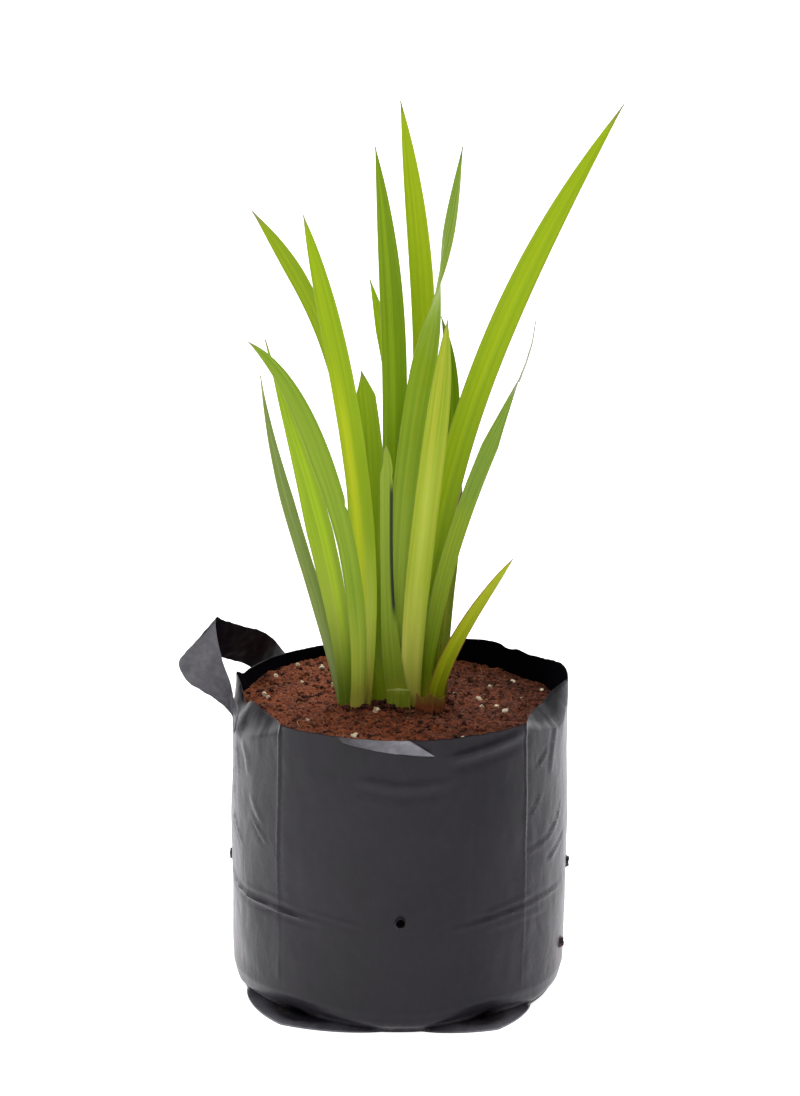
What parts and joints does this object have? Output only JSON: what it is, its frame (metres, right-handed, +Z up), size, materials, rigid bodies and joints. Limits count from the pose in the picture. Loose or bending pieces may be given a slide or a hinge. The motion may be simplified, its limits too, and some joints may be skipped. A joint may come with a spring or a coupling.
{
  "type": "potted plant",
  "caption": "Young sweet flag with long sword-shaped leaves fanning up from a soil-filled round grow bag of thin black film.",
  "frame": {"origin": "middle of the bag's foot, on the surface that it stands on", "axes": "+Z up; -Y towards the front, the side with the folded-out lip; +X to the right, the side that the longest leaf leans to"},
  "size_m": [0.2147, 0.1679, 0.4422],
  "materials": {
    "leaf": "waxy living leaf, satin",
    "leaf_old": "ageing leaf, dull",
    "sheath": "dry and fibrous",
    "rhizome": "ringed rootstock, matt",
    "soil": "moist coco fibre, crumbly and matt",
    "film": "soft satin polythene film"
  },
  "bodies": {
    "root": {"leaf_left_outer": "leaf", "leaf_left_low": "leaf", "leaf_left_front": "leaf", "leaf_left_arching": "leaf", "leaf_left_tall": "leaf", "leaf_left_short": "leaf", "leaf_middle_dark": "leaf", "leaf_middle_small": "leaf", "leaf_middle_tallest": "leaf", "leaf_middle_twisted": "leaf", "leaf_middle_front": "leaf", "leaf_middle_back": "leaf", "leaf_middle_torn": "leaf", "leaf_right_long": "leaf", "leaf_right_hair_tip": "leaf", "leaf_right_old": "leaf_old", "leaf_right_small": "leaf", "cut_leaf_stub": "leaf", "old_sheath": "sheath", "rhizome": "rhizome", "potting_soil": "soil", "torn_rim_strip": "film", "grow_bag": "film"}
  },
  "joints": []
}
